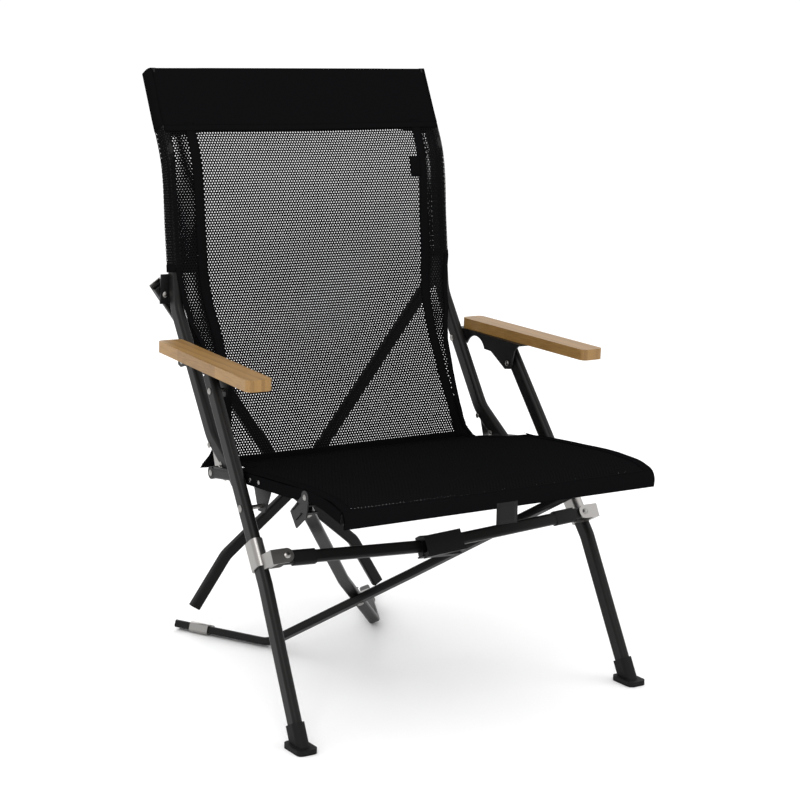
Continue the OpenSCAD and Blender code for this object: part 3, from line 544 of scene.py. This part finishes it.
class CHAIR_OT_back(bpy.types.Operator):
    """Makes the mesh back with its sleeves, top band, seams and hems"""

    bl_idname = "chair.back"
    bl_label = "Mesh back"

    def execute(self, context):
        cloth = context.scene.chair_cloth
        net_mat = shader("net_cloth", cloth.cloth_color, 0.8, 0.0, 0.0)
        hem_mat = add_grain(shader("hem_cloth", cloth.hem_color, 0.9, 0.0, 0.0), 1200, 0.3, 0.75, 0.9)
        band_low = BACK.where_z(BAND_BOTTOM_Z)
        free = BACK.where_z(CLEAR_Z)
        end = BACK.length

        def inside(u, v):
            if v < band_low:
                return False
            if v < free:
                return abs(u) < PANEL_EDGE_X
            return abs(u) < half_width(float(BACK.at(v)[1]))

        panel, area = net(
            "back_net",
            (-BACK_EDGE_X, BACK_EDGE_X),
            (band_low - 0.004, end),
            inside,
            place_back,
            net_mat,
            deep=lambda v: 0.0006,
            fade=lambda v: 1 - 0.24 * min(max((v - 0.16) / 0.28, 0), 1),
        )
        parts, wraps = [], []
        low, high = TUBE.where_z(BAND_BOTTOM_Z), TUBE.where_z(SLEEVE_BOTTOM_Z)
        for side, word in ((-1, "right"), (1, "left")):
            place, length = place_sleeve(side)
            sleeve, sleeve_area = net(
                "back_sleeve_" + word,
                (0, length),
                (low - 0.004, high),
                lambda u, v: low - 0.002 < v < high,
                place,
                net_mat,
            )
            def sewn(t, v, side=side):
                return place_back(side * (along_back(seam_middle, v) + 0.0075 - 0.015 * t), v, 0.0007)

            seam = patch(
                "back_seam_" + word,
                np.linspace(0, 1, 4),
                np.linspace(band_low - 0.01, end, 110),
                sewn,
                hem_mat,
                0.0012,
            )

            def between(u, v, side=side):
                z = float(BACK.at(v)[1])
                return seam_middle(z) < side * u < half_width(z) - 0.001

            def behind(u, v, off, side=side):
                inner, outer = along_back(seam_middle, v), along_back(half_width, v)
                run = np.clip((np.abs(u) - inner) / (outer - inner), 0, 1)
                return place_back(u, v, off - 0.001 - 0.006 * np.sin(run * math.pi) ** 0.7)

            flap, _ = net(
                "back_flap_" + word,
                (-BACK_EDGE_X, BACK_EDGE_X),
                (free - 0.006, end - 0.004),
                between,
                behind,
                net_mat,
            )
            parts.append(flap)
            rows = np.linspace(free - 0.004, end, 90)

            def edge(t, v, side=side):
                return place_back(side * (along_back(half_width, v) + 0.001 - 0.007 * t), v, 0.0004)

            hem = patch("back_hem_" + word, np.linspace(0, 1, 4), rows, edge, hem_mat, 0.0022)
            cuff = patch(
                "back_cuff_" + word,
                np.linspace(0, length, 40),
                np.linspace(high - 0.010, high + 0.001, 4),
                place,
                hem_mat,
                0.0012,
            )
            band = patch(
                "back_band_side_" + word,
                np.linspace(0, length, 40),
                np.linspace(CUT_START, low, 24),
                place,
                hem_mat,
                0.0012,
            )
            parts += [seam, hem]
            for wrap in (cuff, band, sleeve):
                if side > 0:
                    on_left(wrap, "back_left")
                else:
                    on_back(wrap)
            wraps += [cuff, band]
        across = np.linspace(-BAND_EDGE_X, BAND_EDGE_X, 60)
        down = np.linspace(CUT_START, band_low, 24)
        band = patch(
            "back_band",
            across,
            down,
            place_back,
            hem_mat,
            0.0016,
        )
        stitch = patch(
            "back_band_seam",
            across,
            np.linspace(band_low - 0.006, band_low + 0.003, 4),
            lambda u, v: place_back(u, v, 0.0012),
            hem_mat,
            0.0014,
        )
        foot_band = patch(
            "back_foot_band",
            np.linspace(-1, 1, 60),
            np.linspace(end - 0.011, end, 6),
            lambda t, v: place_back(t * along_back(half_width, v), v, 0.0006),
            hem_mat,
            0.0014,
        )

        def thick(x):
            """Depth of the folded band, which opens towards the tubes inside it."""
            rise = np.clip((np.abs(x) - 0.150) / 0.080, 0, 1)
            return 0.009 + 0.017 * rise * rise * (3 - 2 * rise)

        band_rear = patch(
            "back_band_rear",
            across,
            down,
            lambda u, v: place_back(u, v, -thick(u)),
            hem_mat,
            0.0012,
        )
        def over(u, t):
            crown = np.array([0, 0, 0.0016]) * np.sin(t * math.pi)[:, None]
            return place_back(u, np.full_like(u, CUT_START), 0.0004 - thick(u) * t) + crown

        band_top = patch(
            "back_band_top",
            across,
            np.linspace(0, 1, 6),
            over,
            hem_mat,
            0.0012,
        )
        tab = patch(
            "back_tab",
            np.linspace(0.172, 0.190, 4),
            np.linspace(band_low + 0.050, band_low + 0.082, 5),
            lambda u, v: place_back(u, v, 0.0022),
            hem_mat,
            0.0014,
        )
        parts += [band, stitch, tab, foot_band, band_rear, band_top]
        for part in parts:
            on_back(part)
        on_back(panel)
        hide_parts("back_fabric")
        return {"FINISHED"}


class CHAIR_OT_seat(bpy.types.Operator):
    """Makes the mesh seat with its side sleeves, front hem and plain tag"""

    bl_idname = "chair.seat"
    bl_label = "Mesh seat"

    def execute(self, context):
        net_mat = bpy.data.materials["net_cloth"]
        hem_mat = bpy.data.materials["hem_cloth"]
        front = SEAT.length

        def inside(u, v):
            return 0 < v < front - 0.010 and abs(u) < seat_half(v)

        rear_strip = 0.075
        panel, area = net(
            "seat_net",
            (-SEAT_EDGE_X, SEAT_EDGE_X),
            (0.0, front),
            inside,
            place_seat,
            net_mat,
            coarse=1.2,
            deep=lambda v: 0.0010 if v > rear_strip else 0.0004,
            fade=lambda v: 0.74 if v > rear_strip else 0.9,
        )
        parts = []
        for side, word in ((-1, "right"), (1, "left")):
            rows = np.linspace(0.004, front - 0.004, 110)

            def edge(t, v, side=side):
                width = np.array([seat_half(float(k)) for k in v])
                return place_seat(side * (width + 0.001 - 0.014 * t), v, 0.0004)

            parts.append(patch("seat_hem_" + word, np.linspace(0, 1, 4), rows, edge, hem_mat, 0.0016))
            ring = np.linspace(-math.pi / 2, math.pi, 30)

            def around(a, v, side=side):
                y, z = RAIL.at(v)
                y2, z2 = RAIL.at(v, 1.0)
                round_x = np.sign(np.cos(a)) * np.abs(np.cos(a)) ** 0.5 * 0.0060
                round_n = np.sign(np.sin(a)) * np.abs(np.sin(a)) ** 0.5 * 0.0087
                return np.stack([side * (RAIL_X + round_x), y - (y2 - y) * round_n, z - (z2 - z) * round_n], axis=1)

            parts.append(patch("seat_sleeve_" + word, ring, np.linspace(0, RAIL.length, 50), around, hem_mat))
        hem = patch(
            "seat_front_hem",
            np.linspace(-0.2525, 0.2525, 60),
            np.linspace(front - 0.024, front, 8),
            lambda u, v: place_seat(u, v, 0.0004),
            hem_mat,
            0.0018,
        )
        seam = patch(
            "seat_rear_seam",
            np.linspace(-0.236, 0.236, 50),
            np.linspace(0.0, 0.012, 4),
            lambda u, v: place_seat(u, v, 0.0006),
            hem_mat,
            0.0018,
        )
        tag_y, tag_top = SHIFT - 0.3662, 0.3165
        tag = patch(
            "front_tag",
            np.linspace(-0.017, 0.017, 6),
            np.linspace(0, 0.030, 6),
            lambda u, v: np.stack([u, np.full_like(u, tag_y), tag_top - v], axis=1),
            bpy.data.materials["moulded_plastic"],
            0.0011,
        )
        parts += [hem, seam, tag]
        for part in parts:
            if part.name == "seat_sleeve_left":
                on_left(part, "seat_left")
            else:
                on_seat(part)
        on_seat(panel)
        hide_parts("seat_fabric")
        return {"FINISHED"}


class CHAIR_OT_stage(bpy.types.Operator):
    """Adds the pale floor, the studio lights and the camera"""

    bl_idname = "chair.stage"
    bl_label = "Stage"

    def execute(self, context):
        light = context.scene.chair_stage.light
        scene = context.scene
        bpy.ops.mesh.primitive_plane_add(size=30, location=(0, 0, -0.0005))
        floor = context.object
        floor.name = "floor"
        floor.data.materials.append(shader("floor", (1.0, 1.0, 1.0), 0.95, 0.0, 0.0))
        world = bpy.data.worlds.new("studio")
        scene.world = world
        world.use_nodes = True
        world.node_tree.nodes["Background"].inputs[0].default_value = (1, 1, 1, 1)
        world.node_tree.nodes["Background"].inputs[1].default_value = 1.05 * light
        for name, place, size, power in (
            ("key", (-2.2, -2.6, 3.2), 2.4, 60),
            ("fill", (3.0, -1.8, 2.2), 2.2, 15),
            ("rim", (0.6, 3.0, 2.8), 2.0, 30),
        ):
            lamp = bpy.data.lights.new(name, "AREA")
            lamp.size = size
            lamp.energy = power * light
            obj = bpy.data.objects.new(name, lamp)
            obj.location = place
            obj.rotation_euler = (Vector((0, 0, 0.4)) - Vector(place)).to_track_quat("-Z", "Y").to_euler()
            scene.collection.objects.link(obj)
        azimuth, elevation, roll = (math.radians(a) for a in (-32.774, 10.755, 0.973))
        level = math.cos(elevation)
        back = Vector((math.sin(azimuth) * level, -math.cos(azimuth) * level, math.sin(elevation)))
        right = Vector((math.cos(azimuth), math.sin(azimuth), 0))
        up = back.cross(right)
        across = math.cos(roll) * right + math.sin(roll) * up
        upward = -math.sin(roll) * right + math.cos(roll) * up
        camera = bpy.data.objects.new("camera", bpy.data.cameras.new("camera"))
        camera.data.lens = 89.04
        camera.data.sensor_width = 36.0
        turn = Matrix((across, upward, back)).transposed().to_4x4()
        camera.matrix_world = Matrix.Translation((-1.5061, -2.4380 + SHIFT, 0.9376)) @ turn
        scene.collection.objects.link(camera)
        scene.camera = camera
        scene.view_settings.view_transform = "Standard"
        return {"FINISHED"}


class CHAIR_PT_panel(bpy.types.Panel):
    """Lists the steps that build the chair"""

    bl_idname = "CHAIR_PT_panel"
    bl_label = "Folding chair"
    bl_space_type = "VIEW_3D"
    bl_region_type = "UI"
    bl_category = "Chair"

    def draw(self, context):
        for group in (context.scene.chair_cloth, context.scene.chair_frame, context.scene.chair_stage):
            for name in group.__annotations__:
                self.layout.prop(group, name)
        for step in OPERATORS:
            self.layout.operator(step.bl_idname)


SETTINGS = (ClothSettings, FrameSettings, StageSettings)
OPERATORS = (CHAIR_OT_frame, CHAIR_OT_armrests, CHAIR_OT_back, CHAIR_OT_seat, CHAIR_OT_stage)


def register():
    for cls in SETTINGS + OPERATORS + (CHAIR_PT_panel,):
        bpy.utils.register_class(cls)
    bpy.types.Scene.chair_cloth = PointerProperty(type=ClothSettings)
    bpy.types.Scene.chair_frame = PointerProperty(type=FrameSettings)
    bpy.types.Scene.chair_stage = PointerProperty(type=StageSettings)


def unregister():
    for name in ("chair_cloth", "chair_frame", "chair_stage"):
        delattr(bpy.types.Scene, name)
    for cls in reversed(SETTINGS + OPERATORS + (CHAIR_PT_panel,)):
        bpy.utils.unregister_class(cls)


def main():
    register()
    bpy.ops.chair.frame()
    bpy.ops.chair.armrests()
    bpy.ops.chair.back()
    bpy.ops.chair.seat()
    bpy.ops.chair.stage()


if __name__ == "__main__":
    main()
